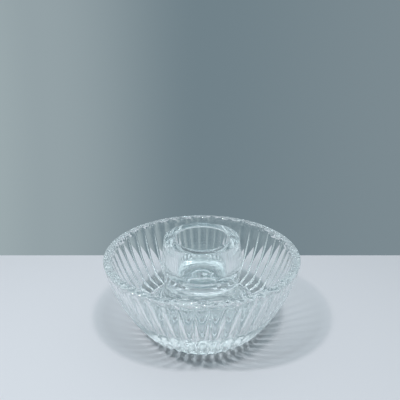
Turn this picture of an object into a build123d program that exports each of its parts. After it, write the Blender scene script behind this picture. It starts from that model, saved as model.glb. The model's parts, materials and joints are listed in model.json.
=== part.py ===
"""Glass candle bowl: a fluted bowl on a foot ring, with a loose candle cup standing in its middle.

Millimetres, +Z up. The origin is the centre of the foot ring, on the surface that the bowl stands on.
"""

import os
from math import cos, radians, sin, sqrt, tan

from build123d import *

# Bowl, outside
rim_diameter = 145.0
rim_height = 65.0
belly_diameter = 117.0  # over the ridges between the flutes
belly_height = 26.0
heel_diameter = 78.0  # where the wall's arc would meet the table
heel_height = 6.5  # where the ridges end as teeth

# Flutes
flute_count = 44
flute_depth = 2.8  # ridge to valley, before it fades
flute_run_out = 47.0  # height over which the flutes fade out
plain_rim_height = 1.5  # plain band between them and the rim

# Bowl, inside
rim_wall = 6.0
rim_bevel = 1.2
trough_depth = 38.0
trough_floor_diameter = 103.0
trough_corner_round = 5.0
bend_drop = 17.0  # the trough's wall bends inwards this far below the rim
bend_wall = 6.9  # and is this thick there

# Seat that locates the cup
seat_height = 2.4
seat_wall = 1.4
seat_splay = 1.6  # how far its foot spreads over the trough's floor
seat_lead_in = 0.6
seat_clearance = 0.3

# Foot ring and hollow underside
foot_diameter = 73.0
foot_height = 14.0  # up into the recess behind the teeth
foot_draft = 8.0
foot_ring_width = 5.3
floor_thickness = 15.0
hollow_draft = 10.0
hollow_round = 8.0
foot_edge_bevel = 0.8

# Candle cup
cup_height = 49.3
cup_foot_diameter = 58.0
cup_waist_diameter = 56.8
cup_waist_height = 22.0  # above the cup's foot
cup_belly_diameter = 60.8
cup_belly_height = 31.5
cup_top_diameter = 56.0
cup_foot_round = 1.2
cup_body_round = 6.0
cup_lip_round = 1.2
socket_diameter = 40.0
socket_depth = 33.2
socket_lip_round = 2.0
socket_bottom_round = 13.2

# Sizes that follow from those above
rim_radius = rim_diameter / 2
belly_radius = belly_diameter / 2
heel_radius = heel_diameter / 2
foot_radius = foot_diameter / 2
hollow_radius = foot_radius - foot_ring_width
trough_floor_height = rim_height - trough_depth
hollow_height = trough_floor_height - floor_thickness
cup_foot_radius = cup_foot_diameter / 2
cup_top_height = trough_floor_height + cup_height
socket_radius = socket_diameter / 2
socket_floor_height = cup_top_height - socket_depth
seat_radius = cup_foot_radius + seat_clearance
seat_outer_radius = seat_radius + seat_wall
flute_pitch = 360 / flute_count
flute_end_height = rim_height - plain_rim_height
wall_spans = 6  # straight spans of the fluted wall, between rings on its arc
overcut = 2.0  # how far a cut runs past the surface that it removes

os.makedirs("parts", exist_ok=True)

# One arc carries the ridges of the wall from the heel, over the belly, to the rim.
with BuildLine(Plane.XZ) as wall_line:
    wall_arc = ThreePointArc((heel_radius, 0), (belly_radius, belly_height), (rim_radius, rim_height))


def wall_radius(height):
    """Radius of the wall's arc at a height."""
    return wall_arc.arc_center.X + sqrt(wall_arc.radius**2 - (height - wall_arc.arc_center.Z) ** 2)


def polar_point(radius, angle):
    """Point at a radius and an angle in degrees."""
    return (radius * cos(radians(angle)), radius * sin(radians(angle)))


def fluted_outline(ridge_radius, depth):
    """Closed ring of hollow flutes, one arc each, that meet in sharp ridges."""
    for flute in range(flute_count):
        ThreePointArc(
            polar_point(ridge_radius, (flute - 0.5) * flute_pitch),
            polar_point(ridge_radius - depth, flute * flute_pitch),
            polar_point(ridge_radius, (flute + 0.5) * flute_pitch),
        )


with BuildPart() as fluted_bowl:
    # Fluted body, lofted straight from ring to ring. The flutes are deep at the heel, and fade out towards
    # a plain rim.
    ring_heights = [flute_end_height * span / wall_spans for span in range(wall_spans + 1)]
    for height in ring_heights + [rim_height]:
        ridge_radius = wall_radius(height)
        fade = min(1, max(0, flute_end_height - height) / flute_run_out)
        depth = flute_depth * sqrt(fade * ridge_radius / belly_radius)
        with BuildSketch(Plane.XY.offset(height)):
            with BuildLine():
                fluted_outline(ridge_radius, depth)
            make_face()
    loft(ruled=True)

    # Foot: the body is cut back to a plain ring. The recess around it rises inwards, so that the ridges of the
    # flutes hang down as teeth.
    shoulder_radius = foot_radius + foot_height * tan(radians(foot_draft))
    tooth_radius = wall_radius(heel_height)
    recess_slope = (foot_height - heel_height) / (tooth_radius - shoulder_radius)
    cut_radius = tooth_radius + overcut
    cut_height = heel_height - overcut * recess_slope
    with BuildSketch(Plane.XZ):
        with BuildLine():
            Polyline(
                (foot_radius, -overcut),
                (foot_radius, 0),
                (shoulder_radius, foot_height),
                (cut_radius, cut_height),
                (cut_radius, -overcut),
                close=True,
            )
        make_face()
    revolve(mode=Mode.SUBTRACT)

    # Trough: a flat floor, a wall that thickens as it goes down, and a bevel inside the rim
    trough_edge = (trough_floor_diameter / 2, trough_floor_height)
    rim_inner_edge = (rim_radius - rim_wall, rim_height - rim_bevel)
    bend_height = rim_height - bend_drop
    with BuildSketch(Plane.XZ) as trough_section:
        with BuildLine():
            ThreePointArc(trough_edge, (wall_radius(bend_height) - bend_wall, bend_height), rim_inner_edge)
            Polyline(
                rim_inner_edge,
                (rim_inner_edge[0] + rim_bevel + overcut, rim_height + overcut),
                (0, rim_height + overcut),
                (0, trough_floor_height),
                trough_edge,
            )
        make_face()
        fillet(trough_section.vertices().sort_by_distance(trough_edge)[0], trough_corner_round)
    revolve(mode=Mode.SUBTRACT)

    # Bevel outside the rim
    with BuildSketch(Plane.XZ):
        with BuildLine():
            Polyline(
                (rim_radius - rim_bevel, rim_height),
                (rim_radius, rim_height - rim_bevel),
                (rim_radius + overcut, rim_height - rim_bevel),
                (rim_radius + overcut, rim_height + overcut),
                (rim_radius - rim_bevel, rim_height + overcut),
                close=True,
            )
        make_face()
    revolve(mode=Mode.SUBTRACT)

    # Hollow underside, drafted as a pressed hollow is, with a bevelled mouth
    hollow_top_radius = hollow_radius - hollow_height * tan(radians(hollow_draft))
    with BuildSketch(Plane.XZ):
        with BuildLine():
            FilletPolyline(
                (0, -overcut),
                (hollow_radius + foot_edge_bevel + overcut, -overcut),
                (hollow_radius, foot_edge_bevel),
                (hollow_top_radius, hollow_height),
                (0, hollow_height),
                radius=[0, 0, hollow_round],
            )
            Line((0, hollow_height), (0, -overcut))
        make_face()
    revolve(mode=Mode.SUBTRACT)

    # Low collar that keeps the cup in the middle, with a splayed foot
    collar_top_height = trough_floor_height + seat_height
    with BuildSketch(Plane.XZ):
        with BuildLine():
            Polyline(
                (seat_radius, trough_floor_height - overcut),
                (seat_outer_radius + seat_splay, trough_floor_height - overcut),
                (seat_outer_radius + seat_splay, trough_floor_height),
                (seat_outer_radius, collar_top_height),
                (seat_radius + seat_lead_in, collar_top_height),
                (seat_radius, collar_top_height - seat_lead_in),
                close=True,
            )
        make_face()
    revolve()

fluted_bowl.part.label = "fluted_bowl"
export_step(fluted_bowl.part, "parts/fluted_bowl.step")

with BuildPart() as candle_cup:
    # Thick glass cup, turned from one section: a straight foot, a swelling body, a flat lip and a straight
    # socket with a round bottom
    with BuildSketch(Plane.XZ):
        with BuildLine():
            foot_centre = (0, trough_floor_height)
            socket_centre = (0, socket_floor_height)
            FilletPolyline(
                foot_centre,
                (cup_foot_radius, trough_floor_height),
                (cup_waist_diameter / 2, trough_floor_height + cup_waist_height),
                (cup_belly_diameter / 2, trough_floor_height + cup_belly_height),
                (cup_top_diameter / 2, cup_top_height),
                (socket_radius, cup_top_height),
                (socket_radius, socket_floor_height),
                socket_centre,
                radius=[
                    cup_foot_round,
                    cup_body_round,
                    cup_body_round,
                    cup_lip_round,
                    socket_lip_round,
                    socket_bottom_round,
                ],
            )
            Line(socket_centre, foot_centre)
        make_face()
    revolve()

candle_cup.part.label = "candle_cup"
export_step(candle_cup.part, "parts/candle_cup.step")
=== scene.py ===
# %% [markdown]
# # A fluted glass candle bowl
# The object is clear pressed glass: a round bowl whose outside is covered in upright flutes, and a thick
# little cup that stands loose in its middle, for a candle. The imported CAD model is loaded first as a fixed
# frame. It says where each piece stands and how large it is, and its cup lifts out on a slide.

# %% Load the frame
import json
import math

import bmesh
import bpy
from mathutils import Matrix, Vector


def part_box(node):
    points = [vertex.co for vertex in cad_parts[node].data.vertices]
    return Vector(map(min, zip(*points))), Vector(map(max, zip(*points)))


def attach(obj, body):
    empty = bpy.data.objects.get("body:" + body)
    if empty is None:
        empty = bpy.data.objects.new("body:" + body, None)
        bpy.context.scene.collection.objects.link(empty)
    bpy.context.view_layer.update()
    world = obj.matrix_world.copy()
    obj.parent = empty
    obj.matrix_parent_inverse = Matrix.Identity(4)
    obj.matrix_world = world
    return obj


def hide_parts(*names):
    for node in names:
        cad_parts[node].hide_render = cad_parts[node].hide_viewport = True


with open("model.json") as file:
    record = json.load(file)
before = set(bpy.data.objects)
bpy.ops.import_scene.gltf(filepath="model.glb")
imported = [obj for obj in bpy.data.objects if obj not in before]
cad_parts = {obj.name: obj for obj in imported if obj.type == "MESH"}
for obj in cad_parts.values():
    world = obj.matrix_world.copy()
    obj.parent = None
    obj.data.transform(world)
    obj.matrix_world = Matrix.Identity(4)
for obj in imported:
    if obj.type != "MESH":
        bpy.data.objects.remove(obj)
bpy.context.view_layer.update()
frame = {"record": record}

# %% [markdown]
# ## Sizes
# Everything is in metres. The outer sizes are read from the CAD nodes' boxes, so the glass made here can't
# drift from them, and the socket comes from its mount. What a box can't tell, such as how thick a wall is,
# repeats the CAD source's value and stands with the step that needs it. Rounds and small drafts are set here.

# %% Sizes that the frame knows
bowl_low, bowl_high = (Vector(corner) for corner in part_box("fluted_bowl"))
cup_low, cup_high = (Vector(corner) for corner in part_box("candle_cup"))
mounts = {mount["name"]: mount for mount in frame["record"]["mounts"]}

MILLIMETRE = 0.001
RIM_RADIUS = min(bowl_high.x, bowl_high.y, -bowl_low.x, -bowl_low.y)
RIM_HEIGHT = bowl_high.z
FLOOR_HEIGHT = cup_low.z
CUP_TOP = cup_high.z
SOCKET_RADIUS = mounts["candle_socket"]["dims"]["r_mm"] * MILLIMETRE
print("rim", RIM_RADIUS, RIM_HEIGHT, "cup", FLOOR_HEIGHT, CUP_TOP, "socket", SOCKET_RADIUS)

# %% [markdown]
# ## The skin of pressed glass
# Pressed glass is never quite even. Faint broad waves run over it, and the bowl's rim is as grainy as frost.
# A very fine mesh could carry that, but a bump is lighter and does as well. A trace of the grain goes on
# towards the foot, only to break up the light there. Both pieces have the waves and only the bowl has the
# grain, so one node group makes them, with an amount for each. Helpers come first, because node trees are
# long when each socket takes a line.


# %% Helpers for nodes
def add_node(tree, kind, inputs=(), **properties):
    """Adds a node. Each input is given a value, or the socket that feeds it."""
    made = tree.nodes.new(kind)
    for name, value in properties.items():
        setattr(made, name, value)
    for name, value in dict(inputs).items():
        if isinstance(value, bpy.types.NodeSocket):
            tree.links.new(value, made.inputs[name])
        else:
            made.inputs[name].default_value = value
    return made


def ranged(tree, value, start, end, first=0.0, last=1.0, shape="LINEAR"):
    """A Map Range node, as its result's socket."""
    limits = {"From Min": start, "From Max": end, "To Min": first, "To Max": last}
    return add_node(tree, "ShaderNodeMapRange", {"Value": value, **limits},
                    interpolation_type=shape).outputs["Result"]


def maths(tree, operation, first, second=0.0):
    """A Math node, as its result's socket."""
    return add_node(tree, "ShaderNodeMath", {0: first, 1: second}, operation=operation).outputs["Value"]


def blended(tree, share, first, second, blend="MIX"):
    """A Mix node for colours, as its result's socket."""
    return add_node(tree, "ShaderNodeMix", {"Factor": share, "A": first, "B": second},
                    data_type="RGBA", blend_type=blend).outputs["Result"]


def coloured(tree, value, stops, easing="LINEAR"):
    """A colour ramp through (place, colour) stops from 0 to 1, as its colour's socket."""
    ramp = add_node(tree, "ShaderNodeValToRGB", {"Fac": value})
    ramp.color_ramp.interpolation = easing
    for place, _ in stops[1:-1]:
        ramp.color_ramp.elements.new(place)
    for element, (_, colour) in zip(ramp.color_ramp.elements, stops):
        element.color = (*colour, 1)
    return ramp.outputs["Color"]


# %% Node group for the skin
WAVE_SCALE = 45.0
WAVE_DETAIL = 0.0
GRAIN_SCALE = 260.0
GRAIN_DETAIL = 0.5
NOISE_MIDDLE = 0.5
FOOT_GRAIN_END = 0.045
FOOT_GRAIN_FULL = 0.020


def centred_noise(tree, place, scale, detail):
    """Noise about zero, as its value's socket."""
    noise = add_node(tree, "ShaderNodeTexNoise", {"Vector": place, "Scale": scale, "Detail": detail})
    return maths(tree, "SUBTRACT", noise.outputs["Fac"], NOISE_MIDDLE)


def pressed_skin():
    """Height of the skin in millimetres: broad waves, and grain at the rim and a little at the foot."""
    group = bpy.data.node_groups.new("pressed skin", "ShaderNodeTree")
    for name in ("Waves", "Grain", "Grain From", "Grain To", "Foot Share"):
        group.interface.new_socket(name, in_out="INPUT", socket_type="NodeSocketFloat")
    group.interface.new_socket("Height", in_out="OUTPUT", socket_type="NodeSocketFloat")
    given = add_node(group, "NodeGroupInput").outputs
    place = add_node(group, "ShaderNodeTexCoord").outputs["Object"]
    height = add_node(group, "ShaderNodeSeparateXYZ", {"Vector": place}).outputs["Z"]
    waves = maths(group, "MULTIPLY", centred_noise(group, place, WAVE_SCALE, WAVE_DETAIL), given["Waves"])
    grain = maths(group, "MULTIPLY", centred_noise(group, place, GRAIN_SCALE, GRAIN_DETAIL), given["Grain"])
    rim = ranged(group, height, given["Grain From"], given["Grain To"], shape="SMOOTHSTEP")
    foot = ranged(group, height, FOOT_GRAIN_END, FOOT_GRAIN_FULL, 0.0, given["Foot Share"], "SMOOTHSTEP")
    patches = maths(group, "MULTIPLY", grain, maths(group, "ADD", rim, foot))
    add_node(group, "NodeGroupOutput", {"Height": maths(group, "ADD", waves, patches)})
    return group


skin_group = pressed_skin()
print("skin:", [item.name for item in skin_group.interface.items_tree])

# %% [markdown]
# ## Light through the glass
# Glass bends light, so the real bowl throws bright lines on the table, and leaves a dark ring around its
# toothed heel. A renderer that follows light back from the camera finds few such paths. So for the light that
# falls on the table, the glass is a tinted pane: darker where a ray grazes the surface, dark at the heel, and
# clear along the ridges. The cosine of the number of flutes times the turn is -1 on every ridge.

# %% Tint of the pane
FLUTE_COUNT = 44
FOOT_RADIUS = 0.0365
FOOT_FADE = 0.003
GRAZING_BLEND = 0.35
GRAZING_STOPS = ((0.0, (0.935, 0.975, 0.98)), (0.5, (0.385, 0.45, 0.463)), (1.0, (0.06, 0.08, 0.09)))
HEEL_SHADE = 0.20
HEEL_DARKEST = 0.006  # heights
HEEL_END = 0.030
RIDGE_CLEAR = -0.9  # cosines, across a ridge
RIDGE_EDGE = -0.1
RIDGE_FULL = 0.020  # heights, along a ridge
RIDGE_END = 0.060
CLEAR_TINT = (0.95, 0.97, 0.97, 1)


def grazing_tint(tree):
    """Pale where light goes straight through, dark where it grazes the surface."""
    facing = add_node(tree, "ShaderNodeLayerWeight", {"Blend": GRAZING_BLEND}).outputs["Facing"]
    return coloured(tree, facing, GRAZING_STOPS)


def fluted_tint(tree):
    """The grazing tint, with a dark heel and a clear line along each ridge of the lower wall."""
    place = add_node(tree, "ShaderNodeTexCoord").outputs["Object"]
    axes = add_node(tree, "ShaderNodeSeparateXYZ", {"Vector": place}).outputs
    squares = [maths(tree, "MULTIPLY", axes[name], axes[name]) for name in ("X", "Y")]
    reach = maths(tree, "SQRT", maths(tree, "ADD", *squares))
    outside = ranged(tree, reach, FOOT_RADIUS, FOOT_RADIUS + FOOT_FADE)
    turn = maths(tree, "MULTIPLY", maths(tree, "ARCTAN2", axes["Y"], axes["X"]), float(FLUTE_COUNT))
    ridge = ranged(tree, maths(tree, "COSINE", turn), RIDGE_CLEAR, RIDGE_EDGE, 1.0, 0.0, "SMOOTHSTEP")
    low_ridge = maths(tree, "MULTIPLY", ridge, ranged(tree, axes["Z"], RIDGE_FULL, RIDGE_END, 1.0, 0.0))
    heel = ranged(tree, axes["Z"], HEEL_DARKEST, HEEL_END, HEEL_SHADE, 1.0)
    dimmed = blended(tree, outside, grazing_tint(tree), heel, "MULTIPLY")
    return blended(tree, maths(tree, "MULTIPLY", low_ridge, outside), dimmed, CLEAR_TINT)


# %% [markdown]
# ## Glass
# Clear glass is nothing but its surfaces: a Principled shader with full transmission and the refraction of
# soda glass, whose iron gives thick edges a breath of blue-green. The skin goes in as a bump. Light Path
# picks the pane for rays that carry light to the table, and the true glass for what the camera sees.

# %% Glass materials
GLASS_TINT = (0.970, 0.993, 0.995, 1)
SODA_GLASS_IOR = 1.52
SKIN = {"Waves": 0.04, "Grain From": RIM_HEIGHT - 0.0045, "Grain To": RIM_HEIGHT - 0.0012, "Foot Share": 0.10}
RIM_GRAIN = 4.0


def clear_glass(name, grain, tint):
    """Clear pressed glass, with its grain in millimetres and a tint for the light on the table."""
    material = bpy.data.materials.new(name)
    material.use_nodes = True
    tree = material.node_tree
    skin = add_node(tree, "ShaderNodeGroup", {"Grain": grain, **SKIN}, node_tree=skin_group)
    bump = add_node(tree, "ShaderNodeBump", {"Distance": MILLIMETRE, "Height": skin.outputs["Height"]})
    shader = tree.nodes["Principled BSDF"]
    shader.inputs["Base Color"].default_value = GLASS_TINT
    shader.inputs["Roughness"].default_value = 0.0
    shader.inputs["IOR"].default_value = SODA_GLASS_IOR
    shader.inputs["Transmission Weight"].default_value = 1
    tree.links.new(bump.outputs["Normal"], shader.inputs["Normal"])
    path = add_node(tree, "ShaderNodeLightPath").outputs
    on_table = maths(tree, "MAXIMUM", path["Is Shadow Ray"], path["Is Diffuse Ray"])
    pane = add_node(tree, "ShaderNodeBsdfTransparent", {"Color": tint(tree)})
    either = {0: on_table, 1: shader.outputs["BSDF"], 2: pane.outputs["BSDF"]}
    glass = add_node(tree, "ShaderNodeMixShader", either)
    tree.links.new(glass.outputs["Shader"], tree.nodes["Material Output"].inputs["Surface"])
    print(name, "nodes:", len(tree.nodes))
    return material


bowl_glass = clear_glass("bowl glass", RIM_GRAIN, fluted_tint)
cup_glass = clear_glass("cup glass", 0.0, grazing_tint)

# %% [markdown]
# ## A section to spin
# Both pieces are round, so each starts as half of its cross-section: a chain of edges in the XZ plane.
# It could be drawn as a curve, but a chain in a bmesh can be shaped by the same operators as the solid.
# Corners are vertices, rounds are vertex bevels, and a long arc is one vertex spun about the arc's centre.


# %% Helpers for a section
def arc_centre(first, middle, last):
    """Centre of the circle through three (radius, height) points."""
    (ax, ay), (bx, by), (cx, cy) = first, middle, last
    twice_area = 2 * (ax * (by - cy) + bx * (cy - ay) + cx * (ay - by))
    a2, b2, c2 = ax * ax + ay * ay, bx * bx + by * by, cx * cx + cy * cy
    x = (a2 * (by - cy) + b2 * (cy - ay) + c2 * (ay - by)) / twice_area
    y = (a2 * (cx - bx) + b2 * (ax - cx) + c2 * (bx - ax)) / twice_area
    return x, y


def add_corner(bm, last, radius, height):
    """Adds a vertex to the section and joins it to the last one."""
    corner = bm.verts.new((radius, 0, height))
    if last is not None:
        bm.edges.new((last, corner))
    return corner


def add_arc(bm, last, middle, end, steps):
    """Carries the section on from its last vertex along an arc, by spinning that vertex."""
    start = (last.co.x, last.co.z)
    x, y = arc_centre(start, middle, end)
    angle_start = math.atan2(start[1] - y, start[0] - x)
    angle_end = math.atan2(end[1] - y, end[0] - x)
    turn = (angle_end - angle_start + math.pi) % (2 * math.pi) - math.pi
    spun = bmesh.ops.spin(bm, geom=[last], cent=(x, 0, y), axis=(0, -1, 0), angle=turn, steps=steps)
    return next(item for item in spun["geom_last"] if isinstance(item, bmesh.types.BMVert))


def round_corner(bm, corner, size, segments):
    """Rounds one corner of the section."""
    bmesh.ops.bevel(bm, geom=[corner], offset=size, offset_type="OFFSET", segments=segments,
                    profile=0.5, affect="VERTICES", material=-1, clamp_overlap=True)


# %% Helpers for a solid
MERGE_DISTANCE = 1e-6


def spin_section(bm, steps):
    """Turns the section once about Z into a closed body with its faces outwards."""
    bmesh.ops.spin(bm, geom=bm.verts[:] + bm.edges[:], cent=(0, 0, 0), axis=(0, 0, 1),
                   angle=2 * math.pi, steps=steps, use_merge=True)
    bmesh.ops.remove_doubles(bm, verts=bm.verts, dist=MERGE_DISTANCE)
    bmesh.ops.recalc_face_normals(bm, faces=bm.faces)


def finish_piece(bm, name, material, body, node):
    """Makes a smooth-shaded object of the mesh, on a body, in place of a CAD node."""
    for face in bm.faces:
        face.smooth = True
    mesh = bpy.data.meshes.new(name)
    bm.to_mesh(mesh)
    bm.free()
    piece = bpy.data.objects.new(name, mesh)
    bpy.context.scene.collection.objects.link(piece)
    flats = piece.modifiers.new("flat faces stay flat", "WEIGHTED_NORMAL")
    flats.mode = "FACE_AREA"
    flats.weight = 100
    mesh.materials.append(material)
    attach(piece, body)
    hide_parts(node)
    print(name, "faces:", len(mesh.polygons))


# %% [markdown]
# ## The bowl
# The section runs from the middle of the hollow underside, round the foot ring, up the fluted wall, over the
# rim, down into the trough and in to the axis. One arc through three points carries the ridges of the wall,
# and each ridge ends below as a tooth over a recess.

# %% Outline of the wall
ARC_PAST_RIM = 0.0003
heel_point = (0.039, 0)
belly_point = (0.0585, 0.026)
rim_point = (RIM_RADIUS + ARC_PAST_RIM, RIM_HEIGHT)
wall_x, wall_y = arc_centre(heel_point, belly_point, rim_point)
wall_reach = math.hypot(heel_point[0] - wall_x, heel_point[1] - wall_y)


def wall_radius(height):
    """Radius of the wall's arc at a height."""
    return wall_x + math.sqrt(wall_reach**2 - (height - wall_y) ** 2)


TOOTH_HEIGHT = 0.0065
FOOT_HEIGHT = 0.014
FOOT_DRAFT = math.radians(8)
TOOTH_RADIUS = wall_radius(TOOTH_HEIGHT)
SHOULDER_RADIUS = FOOT_RADIUS + FOOT_HEIGHT * math.tan(FOOT_DRAFT)
RECESS_SLOPE = (FOOT_HEIGHT - TOOTH_HEIGHT) / (TOOTH_RADIUS - SHOULDER_RADIUS)
print("teeth at radius", TOOTH_RADIUS, "recess rises", RECESS_SLOPE, "per unit inwards")

# %% Outside of the bowl, as corners and an arc
HOLLOW_HEIGHT = 0.012
HOLLOW_TOP_RADIUS = 0.0290
HOLLOW_RADIUS = 0.0312
RIM_WALL = 0.0060
WALL_END = RIM_HEIGHT - 0.0016
WALL_STEPS = 40

bowl = bmesh.new()
flute_depth = bowl.verts.layers.float.new("flute depth")
hollow_middle = add_corner(bowl, None, 0, HOLLOW_HEIGHT)
hollow_corner = add_corner(bowl, hollow_middle, HOLLOW_TOP_RADIUS, HOLLOW_HEIGHT)
foot_inner = add_corner(bowl, hollow_corner, HOLLOW_RADIUS, 0)
foot_outer = add_corner(bowl, foot_inner, FOOT_RADIUS, 0)
foot_shoulder = add_corner(bowl, foot_outer, SHOULDER_RADIUS, FOOT_HEIGHT)
tooth = add_corner(bowl, foot_shoulder, TOOTH_RADIUS, TOOTH_HEIGHT)
wall_top = add_arc(bowl, tooth, belly_point, (wall_radius(WALL_END), WALL_END), WALL_STEPS)
rim_outer = add_corner(bowl, wall_top, RIM_RADIUS, RIM_HEIGHT)
rim_inner = add_corner(bowl, rim_outer, RIM_RADIUS - RIM_WALL, RIM_HEIGHT)
print("outside:", len(bowl.verts), "points")

# %% Inside of the bowl, and the collar for the cup
INNER_TOP_INSET = 0.0004
INNER_TOP_DROP = 0.0018
BEND_DROP = 0.017
BEND_WALL = 0.0069
TROUGH_FLOOR_RADIUS = 0.0515
TROUGH_STEPS = 20
COLLAR_INNER = 0.0293
COLLAR_OUTER = COLLAR_INNER + 0.0014
COLLAR_FOOT = COLLAR_OUTER + 0.0016
COLLAR_TOP = FLOOR_HEIGHT + 0.0024

bend_height = RIM_HEIGHT - BEND_DROP
bend_point = (wall_radius(bend_height) - BEND_WALL, bend_height)
inner_top = add_corner(bowl, rim_inner, RIM_RADIUS - RIM_WALL - INNER_TOP_INSET, RIM_HEIGHT - INNER_TOP_DROP)
trough_corner = add_arc(bowl, inner_top, bend_point, (TROUGH_FLOOR_RADIUS, FLOOR_HEIGHT), TROUGH_STEPS)
collar_foot = add_corner(bowl, trough_corner, COLLAR_FOOT, FLOOR_HEIGHT)
collar_outer = add_corner(bowl, collar_foot, COLLAR_OUTER, COLLAR_TOP)
collar_inner = add_corner(bowl, collar_outer, COLLAR_INNER, COLLAR_TOP)
seat_corner = add_corner(bowl, collar_inner, COLLAR_INNER, FLOOR_HEIGHT)
add_corner(bowl, seat_corner, 0, FLOOR_HEIGHT)
for corner, size, segments in (
    (hollow_corner, 0.010, 10),
    (foot_inner, 0.0008, 4),
    (foot_outer, 0.0008, 4),
    (foot_shoulder, 0.0010, 4),
    (tooth, 0.0008, 4),
    (rim_outer, 0.0014, 5),
    (rim_inner, 0.0014, 5),
    (trough_corner, 0.005, 8),
    (collar_foot, 0.0014, 5),
    (collar_outer, 0.0005, 3),
    (collar_inner, 0.0005, 3),
):
    round_corner(bowl, corner, size, segments)
print("whole section, rounded:", len(bowl.verts), "points")

# %% [markdown]
# ## The flutes
# Each flute is a hollow between two ridges, deep at the heel and gone under the rim. It could be cut with a
# boolean, but that leaves ragged faces. Here a number on each vertex of the section says how deep the flutes
# are there, the spin copies it all round, and each vertex then moves towards the axis. The cone of the recess
# cuts their lower ends, so the hollows end higher than the ridges.

# %% Depth of the flutes, kept on the section
FLUTE_DEPTH = 0.0028
FLUTE_RUN_OUT = 0.047
FLUTE_END = RIM_HEIGHT - 0.0015
WALL_BAND = 0.0022  # a point this close to the arc belongs to the wall
TOOTH_BAND = 0.001  # and so does the round under a tooth
for vert in bowl.verts:
    on_wall = vert.co.x > wall_radius(max(vert.co.z, 0)) - WALL_BAND
    if on_wall and vert.co.z >= TOOTH_HEIGHT - TOOTH_BAND:
        fade = min(1, max(0, (FLUTE_END - vert.co.z) / FLUTE_RUN_OUT))
        vert[flute_depth] = FLUTE_DEPTH * math.sqrt(fade * vert.co.x / belly_point[0])
print("deepest flute:", max(vert[flute_depth] for vert in bowl.verts))

# %% Spin the bowl and press the flutes into it
STEPS_PER_FLUTE = 12
NOTCH_REACH = 0.010
WALL_LEAN = (wall_radius(TOOTH_HEIGHT + MILLIMETRE) - TOOTH_RADIUS) / MILLIMETRE
spin_section(bowl, FLUTE_COUNT * STEPS_PER_FLUTE)
for vert in bowl.verts:
    if vert[flute_depth] == 0:
        continue
    radius = vert.co.xy.length
    turn = math.atan2(vert.co.y, vert.co.x) * FLUTE_COUNT / (2 * math.pi)
    across = 2 * (turn - round(turn))
    hollow = vert[flute_depth] * (1 - across**2)
    notch = hollow * RECESS_SLOPE / (1 + WALL_LEAN * RECESS_SLOPE)
    inset = wall_radius(vert.co.z) - radius
    vert.co.z += notch * min(1, max(0, 1 - (vert.co.z - TOOTH_HEIGHT) / NOTCH_REACH))
    vert.co.xy *= (wall_radius(vert.co.z) - inset - hollow) / radius
finish_piece(bowl, "glass_bowl", bowl_glass, "bowl", "fluted_bowl")

# %% [markdown]
# ## The cup
# The cup is one thick round shape, so its section needs only corners: a straight foot, a swelling body, a
# flat lip and a nearly straight socket with a round bottom. It could stand exactly on the bowl's floor, but
# the renderer can't tell two sheets of glass apart where they share one face. So it is sunk a twentieth of a
# millimetre. Light then goes straight on from one to the other, and the foot looks bright.

# %% Section of the cup, spun
CUP_FOOT_RADIUS = 0.0290
CUP_WAIST = (0.0284, 0.0490)
CUP_BELLY = (0.0304, 0.0585)
CUP_TOP_RADIUS = 0.0280
SOCKET_FLOOR = CUP_TOP - 0.0332
SOCKET_DRAFT = 0.0002
CUP_SINK = 0.00005
CUP_STEPS = 256

cup = bmesh.new()
seat = FLOOR_HEIGHT - CUP_SINK
foot_middle = add_corner(cup, None, 0, seat)
foot_corner = add_corner(cup, foot_middle, CUP_FOOT_RADIUS, seat)
waist = add_corner(cup, foot_corner, *CUP_WAIST)
belly = add_corner(cup, waist, *CUP_BELLY)
lip_outer = add_corner(cup, belly, CUP_TOP_RADIUS, CUP_TOP)
lip_inner = add_corner(cup, lip_outer, SOCKET_RADIUS, CUP_TOP)
socket_corner = add_corner(cup, lip_inner, SOCKET_RADIUS - SOCKET_DRAFT, SOCKET_FLOOR)
add_corner(cup, socket_corner, 0, SOCKET_FLOOR)
for corner, size, segments in (
    (foot_corner, 0.0012, 5),
    (waist, 0.0060, 6),
    (belly, 0.0060, 6),
    (lip_outer, 0.0008, 5),
    (lip_inner, 0.0012, 8),
    (socket_corner, 0.0132, 16),
):
    round_corner(cup, corner, size, segments)
spin_section(cup, CUP_STEPS)
finish_piece(cup, "glass_cup", cup_glass, "cup", "candle_cup")

# %% [markdown]
# ## Stage
# Glass shows its surroundings, so the surroundings are half of its look. The bowl stands on a pale table that
# ends behind it. Only the table takes a diffuse material; it keeps the bowl's shadow.

# %% Floor
TABLE_BACK = 0.120
TABLE_REACH = 1.5
TABLE_DROP = 0.0002
TABLE_PAINT = (0.735, 0.757, 0.80, 1)
TABLE_ROUGHNESS = 0.55
table_form = bmesh.new()
bmesh.ops.create_grid(table_form, x_segments=1, y_segments=1, size=TABLE_REACH)
bmesh.ops.translate(table_form, verts=table_form.verts, vec=(0, TABLE_BACK - TABLE_REACH, -TABLE_DROP))
table_mesh = bpy.data.meshes.new("table")
table_form.to_mesh(table_mesh)
table_form.free()
table = bpy.data.objects.new("table", table_mesh)
bpy.context.scene.collection.objects.link(table)
paint = bpy.data.materials.new("pale table")
paint.use_nodes = True
paint.node_tree.nodes["Principled BSDF"].inputs["Base Color"].default_value = TABLE_PAINT
paint.node_tree.nodes["Principled BSDF"].inputs["Roughness"].default_value = TABLE_ROUGHNESS
table_mesh.materials.append(paint)
print("table ends at", TABLE_BACK, "behind the bowl's axis")
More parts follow.
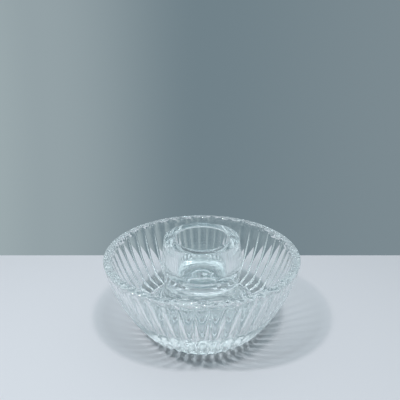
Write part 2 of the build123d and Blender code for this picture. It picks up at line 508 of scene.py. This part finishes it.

# %% [markdown]
# ## The room
# What the glass mirrors and bends is the world: a grey-blue backdrop with painted light, paler on the left
# and darkest straight behind the bowl, and a room with a dark band a little above eye level and bright
# overhead.
# The dark band matters as much as the bright part, because it draws the lines of the flutes. The room was
# fitted to the tones of the glass in the photograph, and is well above the even light that falls on the
# table.
# The camera itself sees the plain backdrop all round. Light Path tells these rays apart.

# %% World
BACKDROP_REACH = 0.45
BACKDROP_EDGE = 0.15
BACKDROP_FULL = 0.55
# Painted light: the backdrop is paler on the left and darkest straight behind the bowl.
BACKDROP_LIGHT_STOPS = ((0.0, (0.34, 0.41, 0.43)), (0.13, (0.296, 0.361, 0.386)), (0.5, (0.165, 0.223, 0.254)),
                  (1.0, (0.20, 0.256, 0.285)))
OVERHEAD_STOPS = ((0.0, (0.80, 0.96, 1.00)), (0.2, (0.04, 0.05, 0.05)), (0.4, (0.58, 0.72, 0.76)),
                  (0.6, (0.84, 0.98, 1.04)), (0.8, (0.92, 1.06, 1.12)), (1.0, (1.22, 1.42, 1.50)))
TABLE_LIGHT = (0.268, 0.292, 0.304, 1)

scene = bpy.context.scene
scene.world = bpy.data.worlds.new("soft room")
scene.world.use_nodes = True
sky = scene.world.node_tree
direction = add_node(sky, "ShaderNodeTexCoord").outputs["Generated"]
towards = add_node(sky, "ShaderNodeSeparateXYZ", {"Vector": direction}).outputs
backdrop = coloured(sky, ranged(sky, towards["X"], -BACKDROP_REACH, BACKDROP_REACH), BACKDROP_LIGHT_STOPS, "EASE")
overhead = coloured(sky, towards["Z"], OVERHEAD_STOPS, "EASE")
path = add_node(sky, "ShaderNodeLightPath").outputs
back_of_room = ranged(sky, towards["Y"], BACKDROP_EDGE, BACKDROP_FULL, shape="SMOOTHSTEP")
room = blended(sky, maths(sky, "MAXIMUM", back_of_room, path["Is Camera Ray"]), overhead, backdrop)
seen = blended(sky, path["Is Diffuse Ray"], room, TABLE_LIGHT)
sky.links.new(seen, sky.nodes["Background"].inputs["Color"])
print("world nodes:", len(sky.nodes))

# %% [markdown]
# ## Lamps
# Two soft lamps stand left and right above the camera, so the bowl has two shadows that overlap behind and
# beside it. They are aimed past the bowl, so the table grows a little darker towards the front.

# %% Two lamps
LAMP_COLOUR = (0.95, 0.98, 1.0)
LAMP_AIM = Vector((-0.05, 0.60, 0.03))
for name, place, size, power in (
    ("left lamp", Vector((-0.30, -0.29, 0.72)), 0.06, 2.95),
    ("right lamp", Vector((0.12, -0.29, 0.72)), 0.07, 2.4),
):
    light = bpy.data.lights.new(name, "AREA")
    light.shape = "DISK"
    light.size = size
    light.energy = power
    light.color = LAMP_COLOUR
    lamp = bpy.data.objects.new(name, light)
    lamp.location = place
    lamp.rotation_euler = (LAMP_AIM - place).to_track_quat("-Z", "Y").to_euler()
    scene.collection.objects.link(lamp)
    print(name, "at", tuple(place))

# %% [markdown]
# ## Camera
# The camera stands where the photograph was taken from, worked out from the rim's ellipse and the cup. The
# distance and elevation are those of the sight line to the middle of the rim.

# %% Camera
PHOTO_WIDTH = 400
FOCAL_PIXELS = 436.5
RIM_DISTANCE = 0.3281
SIGHT_ELEVATION = math.radians(26.52)
PITCH = math.radians(19.88)
SHIFT_PIXELS = -1.85
camera_data = bpy.data.cameras.new("camera")
camera_data.sensor_width = 36
camera_data.lens = camera_data.sensor_width * FOCAL_PIXELS / PHOTO_WIDTH
camera_data.shift_x = SHIFT_PIXELS / PHOTO_WIDTH
camera = bpy.data.objects.new("camera", camera_data)
camera.location = (0, -RIM_DISTANCE * math.cos(SIGHT_ELEVATION),
                   RIM_HEIGHT + RIM_DISTANCE * math.sin(SIGHT_ELEVATION))
camera.rotation_euler = (math.pi / 2 - PITCH, 0, 0)
scene.collection.objects.link(camera)
scene.camera = camera
print("camera at", tuple(camera.location))

# %% [markdown]
# ## Colours and bounces
# Standard shows colours as they are written. A ray crosses many glass faces before it comes out of the far
# side of the bowl, and one that runs out of bounces turns black, so there are plenty.

# %% Colours as written, and enough bounces for glass behind glass
GLASS_BOUNCES = 48
scene.view_settings.view_transform = "Standard"
scene.cycles.max_bounces = GLASS_BOUNCES
scene.cycles.glossy_bounces = GLASS_BOUNCES
scene.cycles.transmission_bounces = GLASS_BOUNCES
scene.cycles.transparent_max_bounces = GLASS_BOUNCES
print("bounces:", GLASS_BOUNCES)
